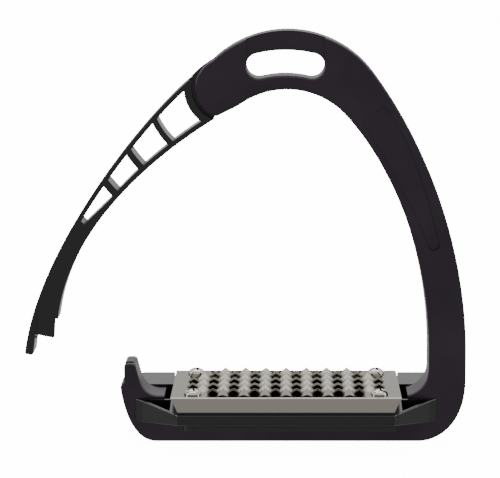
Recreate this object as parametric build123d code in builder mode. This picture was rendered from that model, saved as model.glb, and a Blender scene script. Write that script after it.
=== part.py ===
"""Safety stirrup iron: an aluminium frame, a hinged outer arm and a clamped-on tread.

X runs across the iron (the arm is on -X), Y from the front face to the rear, Z up.
The origin is the middle of the tread, half way through the frame, on the base.
"""

import os
from math import atan2, cos, degrees, hypot, radians, sin

from build123d import *

os.makedirs("parts", exist_ok=True)

# ---- overall sizes ----
CLEAR_WIDTH = 120.0  # between the foot and the fixed branch, where the boot goes
CLEAR_CENTRE_X = -1.3
IRON_HEIGHT = 169.8
FRAME_DEPTH = 15.0
EDGE_ROUND = 0.8

# ---- fixed branch and crown ----
BRANCH_WIDTH = 15.4
BRANCH_STRAIGHT_Z = 36.0
BRANCH_TANGENT_Z = 26.0
CROWN_X = -0.2
CROWN_SHOULDER = (35.9, 17.6)  # right end of the crown's arc, across and down from its top
CROWN_THICKNESS = 23.7
INNER_SHOULDER = (21.9, 31.7)  # the same for the inner arc
INNER_HEEL = (19.0, 30.2)  # left end of the inner arc
BASE_FLAT_INSET = 19.3
BRANCH_FILLET = 10.6
BRANCH_INNER_PULLS = (0.08, 0.565)  # a curve's pulls: its two handles, as shares of its chord
BRANCH_OUTER_PULLS = (0.29, 0.37)
BRANCH_BASE_PULLS = (0.22, 0.62)

# ---- leather eye ----
EYE_CENTRE_DROP = 12.9
EYE_HALF_SPAN = 10.7
EYE_ARC_RADIUS = 46.0
EYE_HEIGHT = 10.2
EYE_ROUND = 0.8
STRAP_SEAT_DEPTH = 0.9

# ---- pocket in the branch's faces ----
RELIEF_DEPTH = 1.0
RELIEF_TOP_IN = (8.8, 4.7)  # its upper corners, from the ends of the crown's two arcs
RELIEF_TOP_OUT = (3.8, 12.1)
RELIEF_CORNER = 1.2
RELIEF_TIP_INSET = 1.5
RELIEF_TIP_Z = 82.8
RELIEF_TIP_RADIUS = 2.4
RELIEF_TIP_ANGLES = (14.0, 288.0, 202.0)
RELIEF_OUT_HEADINGS = (-52.0, -76.0)
RELIEF_IN_HEADINGS = (112.0, 122.0)
RELIEF_PULLS = (0.33, 0.33)

# ---- hinge ----
PIVOT_X = -24.6
PIVOT_DROP = 23.2  # below the top of the crown
CHEEK_RADIUS = 12.1
CHEEK_TOP_ANGLE = 115.0
CHEEK_HEEL_ANGLE = 252.0
CHEEK_BLEND = 3.0
HEEL_BLEND = 12.0
TONGUE_THICKNESS = 4.4
TONGUE_CORE_RADIUS = 7.2
SLOT_CLEARANCE = 0.4
SLOT_SWEEP_GAP = 0.5
RUNNING_GAP = 0.15
WASHER_THICKNESS = 0.6
WASHER_RADIUS = 7.0
SPRING_HEIGHT = 0.7
SPRING_SHEET = 0.35
SHOULDER_RADIUS = 3.0
SHAFT_FIT = 0.04
BUSH_WALL = 1.3
THREAD_RADIUS = 2.4
THREAD_LENGTH = 3.0
HINGE_HEAD_RADIUS = 5.0
HINGE_HEAD_HEIGHT = 2.0
HINGE_HEAD_ROUND = 0.4
HINGE_SOCKET_FLATS = 4.0
HINGE_SOCKET_DEPTH = 1.4

# ---- release arm ----
REST_OPENING = 17.3  # degrees that the arm stands open from its closed place
FULL_OPENING = 62.3
STOP_MARGIN = 3.5
ARM_WIDTH = 13.0
ARM_ROUND = 0.5
RIM_GAP = 1.4
TAIL_RADIUS = 15.1
TAIL_END_RADIUS = 12.3
TAIL_MID_RADIUS = 13.06
TAIL_MID_ANGLE = 163.8
TAIL_END_ANGLE = 131.8
ARM_TOP_ANGLE = 185.1
ARM_HEEL_ANGLE = 267.4
OUTER_HEADING = -122.7
INNER_HEADING = 49.0
OUTER_PULLS = (0.18, 0.34)
INNER_PULLS = (0.36, 0.29)
FLANGE = 2.1
WINDOW_SPANS = ((16.6, 30.1), (32.6, 45.5), (48.3, 60.5), (63.6, 80.0))
TAPER_ANGLE = 10.4  # last window's slanting side, from the line between pivot and foot
TAPER_SPREAD = 60.0
TAB_THICKNESS = 3.5
TAB_LEAN = 10.0
TAB_GAP = 0.3
TAB_DROP = 5.2
TAB_ROUND = 0.9
SHOULDER_RISE = 1.1
SHOULDER_GAP = 1.2
SHOULDER_SETBACK = 0.1
PLUG_THICKNESS = 2.0
PLUG_RECESS = 0.8
PLUG_CLEARANCE = 0.3
PLUG_LEAN = 2.0
PLUG_TILT = 0.8
NUB_RADIUS = 0.5
NUB_DROP = 1.7
NUB_LENGTH = 6.0

# ---- foot that the arm closes on ----
FOOT_TOP_Z = 33.1
FOOT_TOP_WIDTH = 4.6
FOOT_TOP_LEAN = 0.9
FOOT_TOP_ROUND = 1.7
BULGE_Z = 22.7
BULGE_OUT = 1.6
BULGE_HEADING = -82.0
FOOT_FLAT_INSET = 14.8
FOOT_CURVE_SPAN = 9.1
FOOT_IN_HEADING = 104.0
FOOT_IN_PULLS = (0.46, 0.42)
FOOT_OUT_PULLS = (0.4, 0.4)
FOOT_BASE_PULLS = (0.358, 0.354)
POCKET_FLOOR_Z = 26.0
POCKET_WALL = 0.9
POCKET_LEAN = 1.9

# ---- bar ----
BAR_TOP_Z = 19.6
BAR_SADDLE_Z = 12.6
BAR_STEP_GAP = 3.4  # from the tread's end to the step in the bar
BAR_STEP_ROUND = 1.6
GROOVE_DEPTH = 2.0

# ---- tread plate ----
TREAD_DEPTH = 48.0
TREAD_END_INSET = 13.2
TREAD_TOP_Z = 22.8
SHEET = 0.8
WALL_HEIGHT = 6.1
WALL_END_SLOPE = 2.8
BEND_ROUND = 0.6
PITCH = 8.6
RIM_MIN = 5.5
STRIPS = 5
STRIP_END = 0.75  # of a pitch, past the last whole wave
WAVE = 1.6
TOOTH_FOOT = (0.385, -0.75)  # a tooth's foot: along, of a pitch, and up, of the wave
FRONT_EDGE_WAVE = 0.5
FRONT_SLOT = 1.8
REAR_SLIT = 0.4
WEB = 0.2
CORNER_GAP = 0.3

# ---- tread screws ----
SCREW_INSET = (8.8, 6.0)  # from the plate's end and from its edge
SCREW_RADIUS = 2.0
SCREW_LENGTH = 12.5
SCREW_HOLE_CLEARANCE = 0.3
HEAD_RADIUS = 3.6
HEAD_HEIGHT = 2.6
HEAD_RIM = 0.7
HEAD_CLEARANCE = 0.1
CROSS_LENGTH = 4.4
CROSS_WIDTH = 0.9
CROSS_DEPTH = 1.5
CROSS_TURN = 20.0
INSERT_WALL = 0.9
INSERT_LENGTH = 6.4
THREAD_FIT = 0.05
INSERT_FIT = 0.02
BOSS_WALL = 1.0

# ---- footbed, pad and keepers ----
SIDE_GAP = 0.3
WING_OVERLAP = 3.2  # past the inside of the fixed branch
WING_STEP = (2.8, 2.0)
WING_WALL = 0.9
WING_FLOOR_Z = 12.3
FRONT_BAR_Z = (11.1, 15.4)
FRONT_ROUND = 0.5
WING_ROOT_Z = (8.5, 18.3)
REAR_WING_TOP_Z = (20.5, 22.0)
REAR_GAP = 1.0
REAR_CORNER_ROUND = 2.0
END_GAP = 0.6
DECK_INSET = 1.3
WELL_FLOOR_Z = 20.0
PAD_THICKNESS = 1.4
KEEPER_THICKNESS = 2.7
KEEPER_BOTTOM_Z = 8.1
KEEPER_FIT = 0.1
KEEPER_EDGE = 1.8
KEEPER_LONG_END = 6.8  # past one screw, and short of the other by the next
KEEPER_SHORT_END = 0.8
SAME_POINT = 0.01

# ---- worked-out places ----
face_y = FRAME_DEPTH / 2
branch_in_x = CLEAR_CENTRE_X + CLEAR_WIDTH / 2
branch_out_x = branch_in_x + BRANCH_WIDTH
foot_in_x = CLEAR_CENTRE_X - CLEAR_WIDTH / 2
foot_top_in = (foot_in_x - FOOT_TOP_LEAN, FOOT_TOP_Z)
foot_top_out = (foot_top_in[0] - FOOT_TOP_WIDTH, FOOT_TOP_Z)
bulge = (foot_top_out[0] - BULGE_OUT, BULGE_Z)
pivot = (PIVOT_X, IRON_HEIGHT - PIVOT_DROP)
rim_radius = CHEEK_RADIUS + RIM_GAP
plug_rear_y = PLUG_RECESS + PLUG_THICKNESS - ARM_WIDTH / 2
slot_sweep_radius = TAIL_RADIUS + SLOT_SWEEP_GAP
slot_front_y = -(TONGUE_THICKNESS / 2 + RUNNING_GAP + WASHER_THICKNESS)
slot_rear_y = -slot_front_y + SPRING_HEIGHT
tread_half = CLEAR_WIDTH / 2 - TREAD_END_INSET
tread_edge = TREAD_DEPTH / 2
sheet_mid_z = TREAD_TOP_Z - SHEET / 2
sheet_under_z = TREAD_TOP_Z - SHEET
columns = int((tread_half - RIM_MIN) / PITCH - STRIP_END)
long_half = (columns + STRIP_END) * PITCH  # grater's half length on the inner strips
short_half = long_half - PITCH  # and on the outer two, which clear the screws
screw_x = tread_half - SCREW_INSET[0]
screw_y = tread_edge - SCREW_INSET[1]
outer_cut_y = screw_y - HEAD_RADIUS - HEAD_CLEARANCE
strip_depth = 2 * outer_cut_y / (STRIPS - 2)
cut_lines = [strip_depth * i - outer_cut_y for i in range(STRIPS - 1)]
keeper_long_x = screw_x + KEEPER_LONG_END
keeper_short_x = screw_x - KEEPER_SHORT_END
step_half = tread_half + BAR_STEP_GAP
deck_half = tread_half - DECK_INSET
wing_half = branch_in_x + WING_OVERLAP
saddle_y = face_y + SIDE_GAP
washer_rear_y = TONGUE_THICKNESS / 2 + RUNNING_GAP
front_bar_half = tread_half - WALL_END_SLOPE
wall_in_y = tread_edge - SHEET
deck_edge = wall_in_y - SIDE_GAP
deck_low_z = BAR_SADDLE_Z + PAD_THICKNESS
keeper_top_z = KEEPER_BOTTOM_Z + KEEPER_THICKNESS
keeper_out_y = tread_edge - KEEPER_EDGE
boss_radius = SCREW_RADIUS + THREAD_FIT + INSERT_WALL + BOSS_WALL
insert_top_z = keeper_top_z + INSERT_LENGTH - KEEPER_THICKNESS / 2
insert_bottom_z = insert_top_z - INSERT_LENGTH
insert_radius = SCREW_RADIUS + THREAD_FIT + INSERT_WALL


def polar(centre, radius, angle):
    """Return the point at a radius and an angle in degrees from a centre."""
    return (centre[0] + radius * cos(radians(angle)), centre[1] + radius * sin(radians(angle)))


def flowing_curve(start, start_angle, end, end_angle, pulls):
    """Draw a cubic curve whose two handles reach the given shares of its chord."""
    chord = hypot(end[0] - start[0], end[1] - start[1])
    leaving = polar(start, chord * pulls[0], start_angle)
    arriving = polar(end, -chord * pulls[1], end_angle)
    return Bezier(start, leaving, arriving, end)


def heading(edge, place):
    """Return the direction of an edge at a share of its length, in degrees."""
    tangent = edge % place
    return degrees(atan2(tangent.Y, tangent.X))


def corners(sketch, points):
    """Return the sketch's vertices that lie on the given points."""
    return [
        vertex
        for vertex in sketch.vertices()
        if any(hypot(vertex.X - x, vertex.Y - z) < SAME_POINT for x, z in points)
    ]


def finish(builder, label):
    """Label a finished piece and write it."""
    builder.part.label = label
    export_step(builder.part, f"parts/{label}.step")


# ---- frame: base bar, fixed branch, crown, hinge cheeks and foot, in one piece ----
crown_top = (CROWN_X, IRON_HEIGHT)
crown_right = (CROWN_X + CROWN_SHOULDER[0], IRON_HEIGHT - CROWN_SHOULDER[1])
cheek_top = polar(pivot, CHEEK_RADIUS, CHEEK_TOP_ANGLE)
cheek_heel = polar(pivot, CHEEK_RADIUS, CHEEK_HEEL_ANGLE)
inner_top = (CROWN_X, IRON_HEIGHT - CROWN_THICKNESS)
inner_right = (CROWN_X + INNER_SHOULDER[0], IRON_HEIGHT - INNER_SHOULDER[1])
inner_left = (CROWN_X - INNER_HEEL[0], IRON_HEIGHT - INNER_HEEL[1])
branch_in_top = (branch_in_x, BRANCH_STRAIGHT_Z)
branch_out_low = (branch_out_x, BRANCH_TANGENT_Z)
branch_out_top = (branch_out_x, BRANCH_STRAIGHT_Z)
foot_in_base = (foot_in_x + FOOT_CURVE_SPAN, BAR_TOP_Z)
foot_side = (foot_top_out[0], POCKET_FLOOR_Z)
base_left = (bulge[0] + FOOT_FLAT_INSET, 0)
base_right = (branch_out_x - BASE_FLAT_INSET, 0)

with BuildPart() as frame:
    with BuildSketch(Plane.XZ.offset(-face_y)) as outline:
        with BuildLine():
            crown_arc = ThreePointArc(crown_right, crown_top, cheek_top)
            ThreePointArc(cheek_top, polar(pivot, CHEEK_RADIUS, 180), cheek_heel)
            Line(cheek_heel, inner_left)
            inner_arc = ThreePointArc(inner_left, inner_top, inner_right)
            inner_heading = heading(inner_arc, 1)
            flowing_curve(inner_right, inner_heading, branch_in_top, -90, BRANCH_INNER_PULLS)
            Line(branch_in_top, (branch_in_x, BAR_TOP_Z))
            Line((branch_in_x, BAR_TOP_Z), foot_in_base)
            flowing_curve(foot_in_base, 180, foot_top_in, FOOT_IN_HEADING, FOOT_IN_PULLS)
            Line(foot_top_in, foot_top_out)
            Line(foot_top_out, foot_side)
            flowing_curve(foot_side, -90, bulge, BULGE_HEADING, FOOT_OUT_PULLS)
            flowing_curve(bulge, BULGE_HEADING, base_left, 0, FOOT_BASE_PULLS)
            Line(base_left, base_right)
            flowing_curve(base_right, 0, branch_out_low, 90, BRANCH_BASE_PULLS)
            Line(branch_out_low, branch_out_top)
            crown_heading = heading(crown_arc, 0)
            flowing_curve(branch_out_top, 90, crown_right, crown_heading, BRANCH_OUTER_PULLS)
        make_face()
        fillet(corners(outline, [(branch_in_x, BAR_TOP_Z)]), BRANCH_FILLET)
        fillet(corners(outline, [foot_top_in, foot_top_out]), FOOT_TOP_ROUND)
        fillet(corners(outline, [cheek_top, cheek_heel]), CHEEK_BLEND)
        fillet(corners(outline, [inner_left]), HEEL_BLEND)
    extrude(amount=FRAME_DEPTH)
    for end in (0, -1):
        fillet(frame.faces().sort_by(Axis.Y)[end].edges(), EDGE_ROUND)

    # Leather eye through the crown, with the strap bar above it thinned on both faces.
    eye_centre_z = IRON_HEIGHT - EYE_CENTRE_DROP
    eye_end_z = eye_centre_z - EYE_ARC_RADIUS + (EYE_ARC_RADIUS**2 - EYE_HALF_SPAN**2) ** 0.5
    with BuildSketch(Plane.XZ.offset(-face_y)):
        with BuildLine() as eye_line:
            ThreePointArc(
                (CROWN_X - EYE_HALF_SPAN, eye_end_z),
                (CROWN_X, eye_centre_z),
                (CROWN_X + EYE_HALF_SPAN, eye_end_z),
            )
        SlotArc(eye_line.edge(), EYE_HEIGHT)
    extrude(amount=FRAME_DEPTH, mode=Mode.SUBTRACT)
    eye_edges = frame.edges(Select.LAST)
    fillet([*eye_edges.group_by(Axis.Y)[0], *eye_edges.group_by(Axis.Y)[-1]], EYE_ROUND)
    for side in (-1, 1):
        with BuildSketch(Plane.XZ.offset(-side * face_y)):
            with Locations((CROWN_X, eye_centre_z + EYE_HEIGHT)):
                Rectangle(2 * EYE_HALF_SPAN + EYE_HEIGHT, 2 * EYE_HEIGHT)
        extrude(amount=side * STRAP_SEAT_DEPTH, mode=Mode.SUBTRACT)

    # Hinge slot: a disc for the arm's core, and a sweep for the rest of its tongue.
    slot_depth = slot_rear_y - slot_front_y
    sweep_start = TAIL_END_ANGLE - FULL_OPENING - STOP_MARGIN
    sweep_end = ARM_HEEL_ANGLE + STOP_MARGIN
    with BuildSketch(Plane.XZ.offset(-slot_rear_y)):
        with Locations(pivot):
            Circle(TONGUE_CORE_RADIUS + SLOT_CLEARANCE)
        with BuildLine():
            Line(pivot, polar(pivot, slot_sweep_radius, sweep_start))
            ThreePointArc(
                polar(pivot, slot_sweep_radius, sweep_start),
                polar(pivot, slot_sweep_radius, (sweep_start + sweep_end) / 2),
                polar(pivot, slot_sweep_radius, sweep_end),
            )
            Line(polar(pivot, slot_sweep_radius, sweep_end), pivot)
        make_face()
    extrude(amount=slot_depth, mode=Mode.SUBTRACT)
    with BuildSketch(Plane.XZ.offset(-face_y)):
        with Locations(pivot):
            Circle(SHOULDER_RADIUS + SHAFT_FIT)
    extrude(amount=face_y - slot_rear_y, mode=Mode.SUBTRACT)
    with BuildSketch(Plane.XZ.offset(-face_y)):
        with Locations(pivot):
            Circle(HINGE_HEAD_RADIUS + SIDE_GAP)
    extrude(amount=HINGE_HEAD_HEIGHT, mode=Mode.SUBTRACT)
    with BuildSketch(Plane.XZ.offset(-slot_front_y)):
        with Locations(pivot):
            Circle(THREAD_RADIUS + THREAD_FIT)
    extrude(amount=THREAD_LENGTH + SIDE_GAP, mode=Mode.SUBTRACT)

    # Leaf-shaped relief in both faces of the branch.
    relief_in = (inner_right[0] + RELIEF_TOP_IN[0], inner_right[1] - RELIEF_TOP_IN[1])
    relief_out = (crown_right[0] + RELIEF_TOP_OUT[0], crown_right[1] - RELIEF_TOP_OUT[1])
    relief_tip = (branch_in_x + RELIEF_TIP_INSET, RELIEF_TIP_Z)
    tip_arc = [polar(relief_tip, RELIEF_TIP_RADIUS, angle) for angle in RELIEF_TIP_ANGLES]
    for side in (-1, 1):
        with BuildSketch(Plane.XZ.offset(-side * face_y)) as relief:
            with BuildLine():
                Line(relief_in, relief_out)
                leave, arrive = RELIEF_OUT_HEADINGS
                flowing_curve(relief_out, leave, tip_arc[0], arrive, RELIEF_PULLS)
                ThreePointArc(*tip_arc)
                leave, arrive = RELIEF_IN_HEADINGS
                flowing_curve(tip_arc[2], leave, relief_in, arrive, RELIEF_PULLS)
            make_face()
            fillet(corners(relief, [relief_in, relief_out]), RELIEF_CORNER)
        extrude(amount=side * RELIEF_DEPTH, mode=Mode.SUBTRACT)

    # Pocket in the foot's top, open upwards and outwards, that takes the arm's plug.
    pocket_top_x = foot_top_in[0] - POCKET_WALL
    pocket_low_x = pocket_top_x + POCKET_LEAN
    pocket_rear_y = plug_rear_y + PLUG_CLEARANCE
    pocket_depth = PLUG_THICKNESS + 2 * PLUG_CLEARANCE
    with BuildSketch(Plane.XZ.offset(-pocket_rear_y)):
        with BuildLine():
            Polyline(
                (bulge[0] - POCKET_WALL, POCKET_FLOOR_Z),
                (pocket_low_x, POCKET_FLOOR_Z),
                (pocket_top_x, FOOT_TOP_Z + POCKET_WALL),
                (bulge[0] - POCKET_WALL, FOOT_TOP_Z + POCKET_WALL),
                close=True,
            )
        make_face()
    extrude(amount=pocket_depth, mode=Mode.SUBTRACT)

    # The bar is lower under the tread, and a groove in each face takes a keeper's tongue.
    with BuildSketch(Plane.XZ) as step:
        with Locations((0, (BAR_TOP_Z + BAR_SADDLE_Z) / 2 + BAR_STEP_ROUND)):
            Rectangle(2 * step_half, BAR_TOP_Z - BAR_SADDLE_Z + 2 * BAR_STEP_ROUND)
        fillet(step.vertices().group_by(Axis.Y)[0], BAR_STEP_ROUND)
    extrude(amount=face_y, both=True, mode=Mode.SUBTRACT)
    for side in (-1, 1):
        with BuildSketch(Plane.XZ.offset(-side * face_y)):
            with Locations((0, (KEEPER_BOTTOM_Z + keeper_top_z) / 2)):
                Rectangle(2 * (keeper_long_x + SIDE_GAP), KEEPER_THICKNESS + 2 * KEEPER_FIT)
        extrude(amount=side * GROOVE_DEPTH, mode=Mode.SUBTRACT)

finish(frame, "frame")

# ---- release arm: laid out closed, about the pivot, and stored standing open ----
rest = radians(REST_OPENING)
arm_plane = Plane(
    origin=(pivot[0], 0, pivot[1]),
    x_dir=(cos(rest), 0, -sin(rest)),
    z_dir=(0, -1, 0),
)
origin = (0, 0)


def from_pivot(point):
    """Return a point of the frame's outline as seen from the pivot."""
    return (point[0] - pivot[0], point[1] - pivot[1])


foot_top = from_pivot(foot_top_in)
tab_side = from_pivot((bulge[0] - TAB_GAP, BULGE_Z))
tab_heading = 90 + TAB_LEAN
tab_low = polar(tab_side, -TAB_DROP, tab_heading)
tab_tip = polar(tab_low, TAB_THICKNESS, tab_heading + 90)
shoulder_in = (foot_top[0] - SHOULDER_SETBACK, foot_top[1] + SHOULDER_RISE + SHOULDER_GAP)
shoulder_drop = shoulder_in[1] - SHOULDER_RISE
tab_high = polar(tab_side, (shoulder_drop - tab_side[1]) / sin(radians(tab_heading)), tab_heading)
arm_top = polar(origin, TAIL_RADIUS, ARM_TOP_ANGLE)
rim_top = polar(origin, rim_radius, ARM_TOP_ANGLE)
rim_heel = polar(origin, rim_radius, ARM_HEEL_ANGLE)
rim_middle = polar(origin, rim_radius, (ARM_TOP_ANGLE + ARM_HEEL_ANGLE) / 2)
web_top = polar(arm_top, FLANGE, OUTER_HEADING + 90)
web_tip = polar(tab_tip, FLANGE, tab_heading - 90)
web_shoulder = polar(shoulder_in, FLANGE, tab_heading + 90)
web_heel = polar(rim_heel, FLANGE, INNER_HEADING + 90)
taper_heading = degrees(atan2(foot_top[1], foot_top[0])) - TAPER_ANGLE
taper_near = WINDOW_SPANS[-1][0] - FLANGE / 2
taper_far = 2 * WINDOW_SPANS[-1][1]
tail_end = polar(origin, TAIL_END_RADIUS, TAIL_END_ANGLE)
bush_radius = SHOULDER_RADIUS + SHAFT_FIT + BUSH_WALL
plug_low_z = POCKET_FLOOR_Z + PLUG_CLEARANCE + PLUG_TILT - pivot[1]
plug_side_x = pocket_low_x - PLUG_CLEARANCE - pivot[0]
plug_low_in = (plug_side_x, plug_low_z)
plug_root_in = (plug_side_x - PLUG_LEAN, shoulder_in[1])
plug_out_z = plug_low_z - PLUG_TILT
plug_low_out = polar(tab_side, (plug_out_z - tab_side[1]) / sin(radians(tab_heading)), tab_heading)
plug_root_out = polar(tab_high, FLANGE, tab_heading)
nub_centre = polar(plug_low_out, -NUB_DROP, tab_heading)

with BuildPart() as release_arm:
    with BuildSketch(arm_plane.offset(-ARM_WIDTH / 2)) as arm_outline:
        with BuildLine():
            Line(rim_top, arm_top)
            flowing_curve(arm_top, OUTER_HEADING, tab_tip, tab_heading - 180, OUTER_PULLS)
            Line(tab_tip, tab_low)
            Line(tab_low, tab_high)
            Line(tab_high, shoulder_in)
            flowing_curve(shoulder_in, tab_heading, rim_heel, INNER_HEADING, INNER_PULLS)
            ThreePointArc(rim_heel, rim_middle, rim_top)
        make_face()
    extrude(amount=ARM_WIDTH)
    fillet(release_arm.edges().filter_by(GeomType.BEZIER), ARM_ROUND)
    tip_edges = release_arm.edges().filter_by(Axis.Y).sort_by(Axis.Z)[:2]
    fillet(tip_edges, TAB_ROUND)

    # Windows between the two flanges, with ribs on arcs about the pivot.
    with BuildSketch(arm_plane):
        for near, far in reversed(WINDOW_SPANS):
            Circle(far)
            Circle(near, mode=Mode.SUBTRACT)
        with BuildLine():
            flowing_curve(web_top, OUTER_HEADING, web_tip, tab_heading - 180, OUTER_PULLS)
            Line(web_tip, web_shoulder)
            flowing_curve(web_shoulder, tab_heading, web_heel, INNER_HEADING, INNER_PULLS)
            Line(web_heel, web_top)
        make_face(mode=Mode.INTERSECT)
        with BuildLine():
            Polyline(
                polar(origin, taper_near, taper_heading),
                polar(origin, taper_far, taper_heading),
                polar(origin, taper_far, taper_heading + TAPER_SPREAD),
                polar(origin, taper_near, taper_heading + TAPER_SPREAD),
                close=True,
            )
        make_face(mode=Mode.SUBTRACT)
    extrude(amount=ARM_WIDTH / 2, both=True, mode=Mode.SUBTRACT)

    # Tongue that turns in the frame's slot, with its tail along the crown.
    with BuildSketch(arm_plane):
        Circle(TONGUE_CORE_RADIUS)
        with BuildLine():
            Line(origin, tail_end)
            ThreePointArc(tail_end, polar(origin, TAIL_MID_RADIUS, TAIL_MID_ANGLE), arm_top)
            Line(arm_top, rim_top)
            ThreePointArc(rim_top, rim_middle, rim_heel)
            Line(rim_heel, origin)
        make_face()
    extrude(amount=TONGUE_THICKNESS / 2, both=True)
    with BuildSketch(arm_plane.offset(-TONGUE_THICKNESS / 2)):
        Circle(bush_radius)
    extrude(amount=TONGUE_THICKNESS, mode=Mode.SUBTRACT)

    # Plug under the shoulder, narrower than the arm, and the small nub on the tab.
    with BuildSketch(arm_plane.offset(-plug_rear_y)) as plug:
        with BuildLine():
            Polyline(plug_root_out, plug_low_out, plug_low_in, plug_root_in, close=True)
        make_face()
        fillet(corners(plug, [plug_low_in]), ARM_ROUND)
    extrude(amount=PLUG_THICKNESS)
    with BuildSketch(arm_plane):
        with Locations(nub_centre):
            Circle(NUB_RADIUS)
    extrude(amount=NUB_LENGTH / 2, both=True)

finish(release_arm, "release_arm")

# ---- hinge: shoulder screw from the rear, bush, two thrust washers and a disc spring ----
with BuildPart() as hub_bush:
    with BuildSketch(arm_plane.offset(-TONGUE_THICKNESS / 2)):
        Circle(bush_radius - INSERT_FIT)
        Circle(SHOULDER_RADIUS + SHAFT_FIT, mode=Mode.SUBTRACT)
    extrude(amount=TONGUE_THICKNESS)

finish(hub_bush, "hub_bush")

for label, low_y in (("thrust_washer_front", slot_front_y), ("thrust_washer_rear", washer_rear_y)):
    with BuildPart() as washer:
        with BuildSketch(Plane.XZ.offset(-low_y)):
            with Locations(pivot):
                Circle(WASHER_RADIUS)
                Circle(SHOULDER_RADIUS + SHAFT_FIT, mode=Mode.SUBTRACT)
        extrude(amount=-WASHER_THICKNESS)
    finish(washer, label)

with BuildPart() as disc_spring:
    hinge_axis = Axis((pivot[0], 0, pivot[1]), (0, 1, 0))
    spring_low_y = washer_rear_y + WASHER_THICKNESS
    with BuildSketch(Plane.XY.offset(pivot[1])):
        with BuildLine():
            Polyline(
                (pivot[0] + SHOULDER_RADIUS + SIDE_GAP, slot_rear_y - SPRING_SHEET),
                (pivot[0] + WASHER_RADIUS - SIDE_GAP, spring_low_y),
                (pivot[0] + WASHER_RADIUS - SIDE_GAP, spring_low_y + SPRING_SHEET),
                (pivot[0] + SHOULDER_RADIUS + SIDE_GAP, slot_rear_y),
                close=True,
            )
        make_face()
    revolve(axis=hinge_axis)

finish(disc_spring, "disc_spring")

with BuildPart() as hinge_screw:
    with BuildSketch(Plane.XZ.offset(-face_y)):
        with Locations(pivot):
            Circle(HINGE_HEAD_RADIUS)
    extrude(amount=HINGE_HEAD_HEIGHT)
    fillet(hinge_screw.edges().sort_by(Axis.Y)[-1], HINGE_HEAD_ROUND)
    with BuildSketch(Plane.XZ.offset(-face_y + HINGE_HEAD_HEIGHT)):
        with Locations(pivot):
            Circle(SHOULDER_RADIUS)
    extrude(amount=face_y - HINGE_HEAD_HEIGHT - slot_front_y)
    with BuildSketch(Plane.XZ.offset(-slot_front_y)):
        with Locations(pivot):
            Circle(THREAD_RADIUS)
    extrude(amount=THREAD_LENGTH)
    with BuildSketch(Plane.XZ.offset(-face_y)):
        with Locations(pivot):
            RegularPolygon(HINGE_SOCKET_FLATS / 2, 6, major_radius=False)
    extrude(amount=HINGE_SOCKET_DEPTH, mode=Mode.SUBTRACT)

finish(hinge_screw, "hinge_screw")

# ---- footbed: hollow wings and bar in front, taller wings behind, deck over the frame ----
front_section = [
    (-saddle_y, WING_ROOT_Z[0]),
    (-tread_edge, FRONT_BAR_Z[0]),
    (-tread_edge, FRONT_BAR_Z[1]),
    (-saddle_y, WING_ROOT_Z[1]),
]
rear_section = [(-y, z) for y, z in front_section]
rear_wing_section = [
    (face_y + REAR_GAP, WING_ROOT_Z[0]),
    (tread_edge, FRONT_BAR_Z[0]),
    (tread_edge, REAR_WING_TOP_Z[1]),
    (face_y + REAR_GAP, REAR_WING_TOP_Z[0]),
]
front_plan = [
    (-wing_half, -saddle_y),
    (-wing_half + WING_STEP[0], -saddle_y - WING_STEP[1]),
    (-front_bar_half, -tread_edge),
    (front_bar_half, -tread_edge),
    (wing_half - WING_STEP[0], -saddle_y - WING_STEP[1]),
    (wing_half, -saddle_y),
]
rear_wing_start = tread_half + END_GAP
rear_wing_length = wing_half - rear_wing_start

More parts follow.
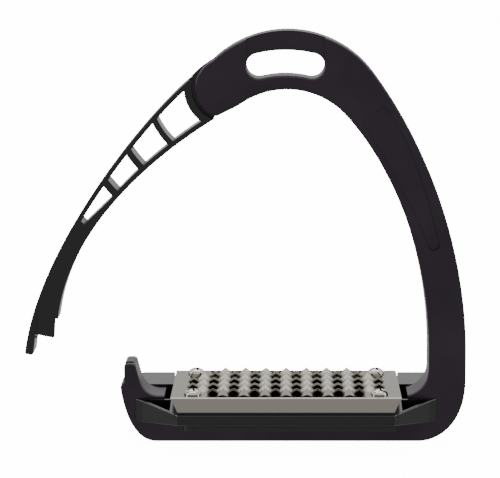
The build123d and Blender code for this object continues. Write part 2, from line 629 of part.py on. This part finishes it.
with BuildPart() as footbed:
    with BuildSketch(Plane.YZ):
        with BuildLine():
            Polyline(*front_section, close=True)
        make_face()
    extrude(amount=wing_half, both=True)
    with BuildSketch(Plane.XY):
        with BuildLine():
            Polyline(*front_plan, close=True)
        make_face()
    extrude(amount=BAR_TOP_Z, mode=Mode.INTERSECT)
    front_edges = footbed.edges().filter_by_position(Axis.Y, -tread_edge, -saddle_y - SIDE_GAP)
    fillet(front_edges, FRONT_ROUND)
    with BuildSketch(Plane.XY.offset(WING_FLOOR_Z)):
        with BuildLine():
            Polyline(*front_plan, close=True)
        make_face()
        offset(amount=-WING_WALL, kind=Kind.INTERSECTION)
        Rectangle(2 * rear_wing_start, 2 * TREAD_DEPTH, mode=Mode.SUBTRACT)
    extrude(amount=BAR_TOP_Z - WING_FLOOR_Z, mode=Mode.SUBTRACT)
    with BuildSketch(Plane.YZ):
        with BuildLine():
            Polyline(*rear_section, close=True)
        make_face()
    extrude(amount=rear_wing_start, both=True)
    for side in (-1, 1):
        with BuildSketch(Plane.YZ.offset(side * rear_wing_start)):
            with BuildLine():
                Polyline(*rear_wing_section, close=True)
            make_face()
        extrude(amount=side * rear_wing_length)
        outer = footbed.faces().sort_by(Axis.X)[0 if side < 0 else -1]
        fillet(outer.edges().sort_by(Axis.Y)[-1], REAR_CORNER_ROUND)
    with BuildSketch(Plane.XY.offset(deck_low_z)):
        Rectangle(2 * deck_half, 2 * deck_edge)
    extrude(amount=sheet_under_z - deck_low_z)

    # Well under the grater, wide at the middle strips and narrow beside the screws.
    with BuildSketch(Plane.XY.offset(WELL_FLOOR_Z)):
        Rectangle(2 * (long_half + SIDE_GAP), 2 * (cut_lines[-1] + WEB + SIDE_GAP))
        Rectangle(2 * (short_half + SIDE_GAP), 2 * deck_edge)
    extrude(amount=sheet_under_z - WELL_FLOOR_Z, mode=Mode.SUBTRACT)

    # Room underneath for the keepers, their bosses and the screws.
    for side in (-1, 1):
        with BuildSketch(Plane.XY):
            with Locations((0, side * (saddle_y + keeper_out_y + SIDE_GAP) / 2)):
                Rectangle(2 * (keeper_long_x + SIDE_GAP), keeper_out_y + SIDE_GAP - saddle_y)
        extrude(amount=keeper_top_z, mode=Mode.SUBTRACT)
    with BuildSketch(Plane.XY.offset(keeper_top_z)):
        with GridLocations(2 * screw_x, 2 * screw_y, 2, 2):
            Circle(boss_radius + SIDE_GAP)
    extrude(amount=insert_top_z + SIDE_GAP - keeper_top_z, mode=Mode.SUBTRACT)
    with BuildSketch(Plane.XY.offset(keeper_top_z)):
        with GridLocations(2 * screw_x, 2 * screw_y, 2, 2):
            Circle(SCREW_RADIUS + SCREW_HOLE_CLEARANCE)
    extrude(amount=sheet_under_z - keeper_top_z, mode=Mode.SUBTRACT)

finish(footbed, "footbed")

# ---- rubber pad between the bar and the footbed ----
with BuildPart() as bar_pad:
    with BuildSketch(Plane.XY.offset(BAR_SADDLE_Z)):
        Rectangle(2 * (deck_half - SIDE_GAP), FRAME_DEPTH - 2 * SIDE_GAP)
    extrude(amount=PAD_THICKNESS)

finish(bar_pad, "bar_pad")

# ---- keepers: strips under the footbed whose tongues hook into the bar's grooves ----
# Both are one moulding, long at one end; the rear one is turned half round.
tongue_y = face_y - GROOVE_DEPTH + SIDE_GAP
for label, side in (("keeper_front", -1), ("keeper_rear", 1)):
    with BuildPart() as keeper:
        with BuildSketch(Plane.XY.offset(KEEPER_BOTTOM_Z)):
            mid_x = side * (keeper_short_x - keeper_long_x) / 2
            with Locations((mid_x, side * (tongue_y + keeper_out_y) / 2)):
                Rectangle(keeper_long_x + keeper_short_x, keeper_out_y - tongue_y)
            with Locations((side * screw_x, side * screw_y)):
                Circle(boss_radius)
        extrude(amount=KEEPER_THICKNESS)
        with BuildSketch(Plane.XY.offset(KEEPER_BOTTOM_Z)):
            with Locations((-screw_x, side * screw_y), (screw_x, side * screw_y)):
                Circle(boss_radius)
        extrude(amount=insert_top_z - KEEPER_BOTTOM_Z)
        with BuildSketch(Plane.XY.offset(KEEPER_BOTTOM_Z)):
            with Locations((-screw_x, side * screw_y), (screw_x, side * screw_y)):
                Circle(insert_radius + INSERT_FIT)
        extrude(amount=insert_top_z - KEEPER_BOTTOM_Z, mode=Mode.SUBTRACT)
    finish(keeper, label)

# ---- tread plate: one folded sheet, lanced into strips that wave against each other ----


def wave_points(share, half):
    """Return a strip edge's section, from left to right and back, at a share of the wave."""
    turns = [i for i in range(-2 * columns - 1, 2 * columns + 2) if abs(i) * PITCH / 2 < half]
    waves = [(i * PITCH / 2, share * WAVE * (-1) ** i) for i in turns]
    feet = [
        (x + side * TOOTH_FOOT[0] * PITCH, TOOTH_FOOT[1] * z)
        for x, z in waves[1::2]
        for side in (-1, 1)
    ]
    line = [(-half, 0.0), *sorted(waves + feet), (half, 0.0)]
    upper = [(x, sheet_mid_z + z + SHEET / 2) for x, z in line]
    lower = [(x, sheet_mid_z + z - SHEET / 2) for x, z in reversed(line)]
    return upper + lower


with BuildPart() as tread_plate:
    with BuildSketch(Plane.XY.offset(sheet_under_z)):
        Rectangle(2 * tread_half, TREAD_DEPTH)
        Rectangle(2 * long_half, 2 * (cut_lines[-1] + CORNER_GAP), mode=Mode.SUBTRACT)
        Rectangle(2 * short_half, 2 * wall_in_y, mode=Mode.SUBTRACT)
        with GridLocations(2 * screw_x, 2 * screw_y, 2, 2):
            Circle(SCREW_RADIUS + SCREW_HOLE_CLEARANCE, mode=Mode.SUBTRACT)
    extrude(amount=SHEET)
    for side in (-1, 1):
        with BuildSketch(Plane.XZ.offset(-side * tread_edge)):
            with BuildLine():
                Polyline(
                    (-tread_half, TREAD_TOP_Z),
                    (tread_half, TREAD_TOP_Z),
                    (tread_half - WALL_END_SLOPE, TREAD_TOP_Z - WALL_HEIGHT),
                    (-tread_half + WALL_END_SLOPE, TREAD_TOP_Z - WALL_HEIGHT),
                    close=True,
                )
            make_face()
        extrude(amount=side * SHEET)
    folds = tread_plate.edges().filter_by(Axis.X).group_by(Axis.Z)[-1]
    fillet([folds.sort_by(Axis.Y)[0], folds.sort_by(Axis.Y)[-1]], BEND_ROUND)

    strip_ends = [-tread_edge + SHEET + FRONT_SLOT, *cut_lines, tread_edge - SHEET - REAR_SLIT]
    for index in range(STRIPS):
        half = short_half if index in (0, STRIPS - 1) else long_half
        start_y = strip_ends[index] + (WEB if index > 0 else 0)
        end_y = strip_ends[index + 1] - (WEB if index < STRIPS - 1 else 0)
        start_share = -1 if index > 0 else FRONT_EDGE_WAVE
        for y, share in ((start_y, start_share), (end_y, 1)):
            with BuildSketch(Plane.XZ.offset(-y)):
                with BuildLine():
                    Polyline(*wave_points(share, half), close=True)
                make_face()
        loft(ruled=True)
    for index, y in enumerate(cut_lines):
        half = short_half if index in (0, len(cut_lines) - 1) else long_half
        for share in (-1, 1):
            with BuildSketch(Plane.XZ.offset(-y + WEB)):
                with BuildLine():
                    Polyline(*wave_points(share, half), close=True)
                make_face()
            extrude(amount=-2 * WEB)

finish(tread_plate, "tread_plate")

# ---- four pan-head screws and the threaded inserts they hold in ----
dome_height = HEAD_HEIGHT - HEAD_RIM
dome_radius = (HEAD_RADIUS**2 + dome_height**2) / (2 * dome_height)
dome_drop = dome_radius - (dome_radius**2 - (HEAD_RADIUS / 2) ** 2) ** 0.5
dome_middle = (HEAD_RADIUS / 2, HEAD_HEIGHT - dome_drop)
screw_places = [(x * screw_x, y * screw_y) for y in (-1, 1) for x in (-1, 1)]
for number, (x, y) in enumerate(screw_places, start=1):
    with BuildPart() as tread_screw:
        with BuildSketch(Plane((x, y, TREAD_TOP_Z), x_dir=(1, 0, 0), z_dir=(0, -1, 0))):
            with BuildLine():
                Polyline((0, HEAD_HEIGHT), (0, 0), (HEAD_RADIUS, 0), (HEAD_RADIUS, HEAD_RIM))
                ThreePointArc((HEAD_RADIUS, HEAD_RIM), dome_middle, (0, HEAD_HEIGHT))
            make_face()
        revolve(axis=Axis((x, y, 0), (0, 0, 1)))
        with BuildSketch(Plane.XY.offset(TREAD_TOP_Z - SCREW_LENGTH)):
            with Locations((x, y)):
                Circle(SCREW_RADIUS)
        extrude(amount=SCREW_LENGTH)
        with BuildSketch(Plane.XY.offset(TREAD_TOP_Z + HEAD_HEIGHT - CROSS_DEPTH)):
            for turn in (CROSS_TURN, CROSS_TURN + 90):
                with Locations(Location((x, y, 0), (0, 0, turn))):
                    Rectangle(CROSS_LENGTH, CROSS_WIDTH)
        extrude(amount=CROSS_DEPTH, mode=Mode.SUBTRACT)
    finish(tread_screw, f"tread_screw_{number}")
    with BuildPart() as threaded_insert:
        with BuildSketch(Plane.XY.offset(insert_bottom_z)):
            with Locations((x, y)):
                Circle(insert_radius)
                Circle(SCREW_RADIUS + THREAD_FIT, mode=Mode.SUBTRACT)
        extrude(amount=INSERT_LENGTH)
    finish(threaded_insert, f"threaded_insert_{number}")
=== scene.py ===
"""Looks of a safety stirrup iron: its finishes, its lanced tread, the studio and the camera."""

import logging
import math
from dataclasses import dataclass
from enum import Enum
from typing import Any

import bpy
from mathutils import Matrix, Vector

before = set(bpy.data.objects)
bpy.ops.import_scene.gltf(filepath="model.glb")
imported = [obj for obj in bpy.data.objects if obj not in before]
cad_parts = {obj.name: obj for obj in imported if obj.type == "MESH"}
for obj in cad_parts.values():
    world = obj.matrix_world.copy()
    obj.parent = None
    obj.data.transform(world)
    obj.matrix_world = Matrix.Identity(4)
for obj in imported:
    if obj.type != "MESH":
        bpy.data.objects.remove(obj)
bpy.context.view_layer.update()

LOG = logging.getLogger("stirrup")
MM = 0.001
NOISE_LOW, NOISE_HIGH = 0.3, 0.7  # the range that holds nearly all of a noise's values
NOISE_ROUGHNESS = 0.55
SQUARE = [(0, 1, 2, 3)]


class Grain(Enum):
    """The way a surface's fine pattern runs, as a stretch of its coordinates along X, Y, Z."""

    EVEN = (1.0, 1.0, 1.0)
    ALONG_X = (0.03, 1.0, 1.0)


def linear(colour: str) -> tuple[float, float, float, float]:
    """Turn an sRGB hex colour into linear light.

    Args:
        colour: Six hex digits after a hash sign.

    Returns:
        Linear red, green and blue, and an alpha of 1.
    """
    shares = [int(colour[i : i + 2], 16) / 255 for i in (1, 3, 5)]
    light = [s / 12.92 if s <= 0.04045 else ((s + 0.055) / 1.055) ** 2.4 for s in shares]
    return (light[0], light[1], light[2], 1.0)


def add_node(
    tree: bpy.types.NodeTree,
    kind: str,
    settings: dict[str | int, Any] | None = None,
    links: dict[str | int, bpy.types.NodeSocket] | None = None,
) -> bpy.types.Node:
    """Add a node with its settings and what feeds it.

    Args:
        tree: Node tree that gets the node.
        kind: Blender's name for the node type.
        settings: Values by property name, or by the name or number of an input.
        links: Source sockets by the name or number of the input that they feed.

    Returns:
        The new node.
    """
    node = tree.nodes.new(kind)
    for key, value in (settings or {}).items():
        if isinstance(key, int) or key in node.inputs:
            node.inputs[key].default_value = value
        else:
            setattr(node, key, value)
    for key, source in (links or {}).items():
        tree.links.new(source, node.inputs[key])
    return node


@dataclass(frozen=True)
class Finish:
    """A surface finish: its name, colour and how it reflects."""

    name: str
    colour: str
    metallic: float
    roughness: float

    def start(self) -> tuple[bpy.types.Material, bpy.types.NodeTree, bpy.types.Node]:
        """Make the material with its main shader.

        Returns:
            The material, its node tree and its shader node.
        """
        material = bpy.data.materials.new(self.name)
        material.use_nodes = True
        tree = material.node_tree
        tree.nodes.clear()
        settings = {
            "Base Color": linear(self.colour),
            "Metallic": self.metallic,
            "Roughness": self.roughness,
        }
        shader = add_node(tree, "ShaderNodeBsdfPrincipled", settings)
        add_node(tree, "ShaderNodeOutputMaterial", links={"Surface": shader.outputs[0]})
        return material, tree, shader

    def pattern(
        self, tree: bpy.types.NodeTree, size_mm: float, grain: Grain, detail: float
    ) -> bpy.types.Node:
        """Add a noise pattern in the part's own coordinates.

        Args:
            tree: Node tree that gets the pattern.
            size_mm: Real size of one grain across its run.
            grain: Which way the pattern runs.
            detail: How many finer layers the noise has.

        Returns:
            The noise node.
        """
        place = add_node(tree, "ShaderNodeTexCoord")
        stretch = add_node(
            tree, "ShaderNodeMapping", {"Scale": grain.value}, {"Vector": place.outputs["Object"]}
        )
        settings = {"Scale": 1 / (size_mm * MM), "Detail": detail, "Roughness": NOISE_ROUGHNESS}
        return add_node(tree, "ShaderNodeTexNoise", settings, {"Vector": stretch.outputs[0]})

    def spread(
        self, tree: bpy.types.NodeTree, source: bpy.types.NodeSocket, low: float, high: float
    ) -> bpy.types.NodeSocket:
        """Map a noise value onto a range.

        Args:
            tree: Node tree that gets the node.
            source: Noise value.
            low: Result at the noise's low end.
            high: Result at the noise's high end.

        Returns:
            The mapped value.
        """
        settings = {"From Min": NOISE_LOW, "From Max": NOISE_HIGH, "To Min": low, "To Max": high}
        return add_node(tree, "ShaderNodeMapRange", settings, {"Value": source}).outputs[0]

    def bump(
        self,
        tree: bpy.types.NodeTree,
        shader: bpy.types.Node,
        height: bpy.types.NodeSocket,
        depth_mm: float,
    ) -> None:
        """Raise the surface by a height pattern.

        Args:
            tree: Node tree that gets the node.
            shader: Shader whose normal is changed.
            height: Height pattern.
            depth_mm: Real depth between its low and high places.
        """
        bump = add_node(
            tree, "ShaderNodeBump", {"Strength": 1.0, "Distance": depth_mm * MM}, {"Height": height}
        )
        tree.links.new(bump.outputs[0], shader.inputs["Normal"])


@dataclass(frozen=True)
class BlastedAnodising(Finish):
    """Aluminium, bead blasted and dyed black in the anodising bath: dark, satin, faintly purple."""

    second_colour: str
    blast_mm: float
    blast_depth_mm: float = 0.004
    cloud_mm: float = 30.0
    roughness_spread: float = 0.03

    def material(self) -> bpy.types.Material:
        """Build the material: dye that varies a little, over a fine even blast.

        Returns:
            The finished material.
        """
        material, tree, shader = self.start()
        cloud = self.pattern(tree, self.cloud_mm, Grain.EVEN, 2.0)
        settings = {"data_type": "RGBA", 6: linear(self.colour), 7: linear(self.second_colour)}
        share = self.spread(tree, cloud.outputs[0], 0.0, 1.0)
        dye = add_node(tree, "ShaderNodeMix", settings, {0: share})
        tree.links.new(dye.outputs[2], shader.inputs["Base Color"])
        blast = self.pattern(tree, self.blast_mm, Grain.EVEN, 1.0)
        low, high = self.roughness - self.roughness_spread, self.roughness + self.roughness_spread
        rough = self.spread(tree, blast.outputs[0], low, high)
        tree.links.new(rough, shader.inputs["Roughness"])
        self.bump(tree, shader, blast.outputs[0], self.blast_depth_mm)
        return material


@dataclass(frozen=True)
class Moulded(Finish):
    """Glass-filled nylon or acetal from a polished mould: even colour with a faint orange peel."""

    peel_mm: float
    peel_depth_mm: float
    smoother: float = 0.02
    rougher: float = 0.04

    def material(self) -> bpy.types.Material:
        """Build the material: a plain colour over a long soft ripple.

        Returns:
            The finished material.
        """
        material, tree, shader = self.start()
        peel = self.pattern(tree, self.peel_mm, Grain.EVEN, 2.0)
        low, high = self.roughness - self.smoother, self.roughness + self.rougher
        rough = self.spread(tree, peel.outputs[0], low, high)
        tree.links.new(rough, shader.inputs["Roughness"])
        self.bump(tree, shader, peel.outputs[0], self.peel_depth_mm)
        return material


@dataclass(frozen=True)
class Worked(Finish):
    """Bare metal after brushing, rolling or turning: fine lines that spread the highlights."""

    line_mm: float
    line_depth_mm: float
    grain: Grain
    roughness_spread: float = 0.06

    def material(self) -> bpy.types.Material:
        """Build the material: lines in the roughness and in the surface's height.

        Returns:
            The finished material.
        """
        material, tree, shader = self.start()
        lines = self.pattern(tree, self.line_mm, self.grain, 3.0)
        low, high = self.roughness - self.roughness_spread, self.roughness + self.roughness_spread
        rough = self.spread(tree, lines.outputs[0], low, high)
        tree.links.new(rough, shader.inputs["Roughness"])
        self.bump(tree, shader, lines.outputs[0], self.line_depth_mm)
        return material


# The dark satin frame: a soft sheen with no sharp reflection in it.
FRAME_FINISH = BlastedAnodising("anodised_aluminium_blasted", "#403a41", 1.0, 0.34, "#39333a", 0.35)
# The near-black arm with its tight bright edge lights.
ARM_FINISH = Moulded("glass_filled_nylon_gloss", "#030304", 0.0, 0.2, 1.6, 0.002)
# The near-black wings round the tread, a shade softer than the arm.
FOOTBED_FINISH = Moulded("glass_filled_nylon_satin", "#050506", 0.0, 0.24, 1.2, 0.003)
# The same moulding on the strips below, a little duller.
KEEPER_FINISH = Moulded("glass_filled_nylon_keeper", "#08080a", 0.0, 0.36, 1.2, 0.003)
# The pale grey plate whose brushed lines run with its length.
TREAD_FINISH = Worked("stainless_sheet_brushed", "#a19c93", 1.0, 0.16, 0.25, 0.002, Grain.ALONG_X)
# The bright domed heads, with dark rims where they turn away.
SCREW_FINISH = Worked("stainless_cold_headed", "#a5a29c", 1.0, 0.1, 0.4, 0.0005, Grain.EVEN)
# A thin grey ring in the hinge, dulled by its oil.
SPRING_FINISH = Worked("spring_steel_oiled", "#6f6d6c", 1.0, 0.3, 0.3, 0.001, Grain.EVEN)
# The brown-gold, faintly grainy bush, seen only inside the hinge.
BRONZE_FINISH = Worked("bronze_sintered", "#9a7440", 1.0, 0.45, 0.3, 0.004, Grain.EVEN)
# Yellow inserts with fine turning lines, seen only from below.
BRASS_FINISH = Worked("brass_turned", "#b8934a", 1.0, 0.3, 0.2, 0.002, Grain.EVEN)
# Off-white rings that show as a pale line beside the arm's tongue.
WASHER_FINISH = Moulded("acetal_stamped", "#d6d3c9", 0.0, 0.4, 1.0, 0.002)
# A dull black layer under the footbed.
PAD_FINISH = Moulded("rubber_moulded", "#0f0f10", 0.0, 0.75, 0.6, 0.006)


def dress(nodes: list[str], finish: Finish) -> None:
    """Give CAD pieces a finish in all their material slots.

    Args:
        nodes: Names of the CAD pieces.
        finish: Finish that they all get.
    """
    material = finish.material()
    for name in nodes:
        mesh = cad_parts[name].data
        for index in range(len(mesh.materials)):
            mesh.materials[index] = material
        LOG.info("dressed %s in %s", name, material.name)


@dataclass
class Frame:
    """The one-piece aluminium frame, with the pad that it carries."""

    bow: str = "frame"
    pad: str = "bar_pad"

    def build(self) -> None:
        """Dress the frame and the rubber pad on its bar."""
        dress([self.bow], FRAME_FINISH)
        dress([self.pad], PAD_FINISH)


@dataclass
class Hinge:
    """The arm's hinge: shoulder screw, bush, washers and disc spring."""

    screw: str = "hinge_screw"
    spring: str = "disc_spring"
    bush: str = "hub_bush"
    washers: tuple[str, ...] = ("thrust_washer_front", "thrust_washer_rear")

    def build(self) -> None:
        """Dress each of the hinge's pieces."""
        dress([self.screw], SCREW_FINISH)
        dress([self.spring], SPRING_FINISH)
        dress([self.bush], BRONZE_FINISH)
        dress(list(self.washers), WASHER_FINISH)


@dataclass
class ReleaseArm:
    """The moulded arm that swings open."""

    arm: str = "release_arm"

    def build(self) -> None:
        """Dress the arm."""
        dress([self.arm], ARM_FINISH)


@dataclass
class Footbed:
    """The moulded footbed and the two keepers that clamp it."""

    bed: str = "footbed"
    keepers: tuple[str, ...] = ("keeper_front", "keeper_rear")
    insert_count: int = 4

    def build(self) -> None:
        """Dress the footbed, its keepers and their inserts."""
        dress([self.bed], FOOTBED_FINISH)
        dress(list(self.keepers), KEEPER_FINISH)
        inserts = [f"threaded_insert_{number + 1}" for number in range(self.insert_count)]
        dress(inserts, BRASS_FINISH)


@dataclass
class Tread:
    """The lanced steel plate and its four screws."""

    plate: str = "tread_plate"
    screw_count: int = 4

    def build(self) -> None:
        """Dress the plate and its screws."""
        dress([self.plate], TREAD_FINISH)
        dress([f"tread_screw_{number + 1}" for number in range(self.screw_count)], SCREW_FINISH)


@dataclass
class Softbox:
    """A studio softbox: where it hangs, where it points, its size and its power."""

    name: str
    place: tuple[float, float, float]
    target: tuple[float, float, float]
    size: tuple[float, float]
    power: float

    def build(self) -> None:
        """Add the light to the scene."""
        data = bpy.data.lights.new(self.name, "AREA")
        data.shape = "RECTANGLE"
        data.size, data.size_y = self.size
        data.energy = self.power
        lamp = bpy.data.objects.new(self.name, data)
        bpy.context.scene.collection.objects.link(lamp)
        lamp.location = self.place
        aim = Vector(self.target) - Vector(self.place)
        lamp.rotation_euler = aim.to_track_quat("-Z", "Y").to_euler()


@dataclass
class Studio:
    """A white paper floor, a room that brightens upwards and to the rear, and soft lights."""

    floor_half: float = 6.0
    floor_colour: str = "#f4f4f3"
    floor_glow: float = 15.0
    room_colour: str = "#ffffff"
    front_light: float = 0.6
    rear_light: float = 0.72
    sky_gain: float = 2.6
    front_span: tuple[float, float] = (-0.5, 0.9)
    rise_span: tuple[float, float] = (0.3, 0.5)
    paper_roughness: float = 0.9

    def lay_floor(self) -> None:
        """Lay the paper, lit from below so that it reads white, and unseen by reflections."""
        half = self.floor_half
        mesh = bpy.data.meshes.new("floor")
        corners = [(-half, -half, 0), (half, -half, 0), (half, half, 0), (-half, half, 0)]
        mesh.from_pydata(corners, [], SQUARE)
        floor = bpy.data.objects.new("floor", mesh)
        bpy.context.scene.collection.objects.link(floor)
        sheet = Finish("paper_matte", self.floor_colour, 0.0, self.paper_roughness)
        paper, _, shader = sheet.start()
        shader.inputs["Emission Color"].default_value = linear(self.floor_colour)
        shader.inputs["Emission Strength"].default_value = self.floor_glow
        mesh.materials.append(paper)
        floor.visible_glossy = False
        floor.visible_diffuse = False

    def light_room(self) -> None:
        """Light the room by direction: brighter towards the rear and brightest high up."""
        world = bpy.data.worlds.new("room")
        bpy.context.scene.world = world
        world.use_nodes = True
        tree = world.node_tree
        tree.nodes.clear()
        place = add_node(tree, "ShaderNodeTexCoord")
        parts = add_node(tree, "ShaderNodeSeparateXYZ", links={0: place.outputs["Generated"]})
        levels = {
            "From Min": self.front_span[0],
            "From Max": self.front_span[1],
            "To Min": self.front_light,
            "To Max": self.rear_light,
            "interpolation_type": "SMOOTHSTEP",
        }
        level = add_node(tree, "ShaderNodeMapRange", levels, {"Value": parts.outputs["Y"]})
        rise = {
            "From Min": self.rise_span[0],
            "From Max": self.rise_span[1],
            "To Min": 1.0,
            "To Max": self.sky_gain,
            "interpolation_type": "SMOOTHSTEP",
        }
        gain = add_node(tree, "ShaderNodeMapRange", rise, {"Value": parts.outputs["Z"]})
        light = add_node(
            tree, "ShaderNodeMath", {"operation": "MULTIPLY"}, {0: level.outputs[0], 1: gain.outputs[0]}
        )
        settings = {"Color": linear(self.room_colour)}
        back = add_node(tree, "ShaderNodeBackground", settings, {"Strength": light.outputs[0]})
        add_node(tree, "ShaderNodeOutputWorld", links={0: back.outputs[0]})

    def build(self) -> None:
        """Lay the floor, light the room and hang the lights."""
        self.lay_floor()
        self.light_room()
        for light in (
            Softbox("top_softbox", (0.0, 0.3, 1.5), (0.0, 0.0, 0.0), (1.6, 1.0), 12.0),
            Softbox("left_softbox", (-1.4, -0.2, 0.7), (0.0, 0.0, 0.1), (0.35, 1.2), 7.0),
            Softbox("right_softbox", (1.4, -0.2, 0.7), (0.0, 0.0, 0.1), (0.35, 1.2), 7.0),
        ):
            light.build()


@dataclass
class Camera:
    """A long lens a little above the tread, looking slightly down."""

    place: tuple[float, float, float] = (0.0008, -0.83341, 0.22909)
    tilt: float = 80.1
    lens: float = 148.25
    shift_x: float = -0.076
    shift_y: float = 0.0012
    near: float = 0.01

    def build(self) -> None:
        """Add the camera and make it the scene's own."""
        data = bpy.data.cameras.new("camera")
        data.lens = self.lens
        data.shift_x = self.shift_x
        data.shift_y = self.shift_y
        data.clip_start = self.near
        camera = bpy.data.objects.new("camera", data)
        bpy.context.scene.collection.objects.link(camera)
        camera.location = self.place
        camera.rotation_euler = (math.radians(self.tilt), 0.0, 0.0)
        bpy.context.scene.camera = camera


def main() -> None:
    """Build everything in order."""
    logging.basicConfig(level=logging.INFO, format="%(message)s")
    for part in (Studio(), Camera(), Frame(), Hinge(), ReleaseArm(), Footbed(), Tread()):
        part.build()
        LOG.info("built %s", type(part).__name__)


if __name__ == "__main__":
    main()
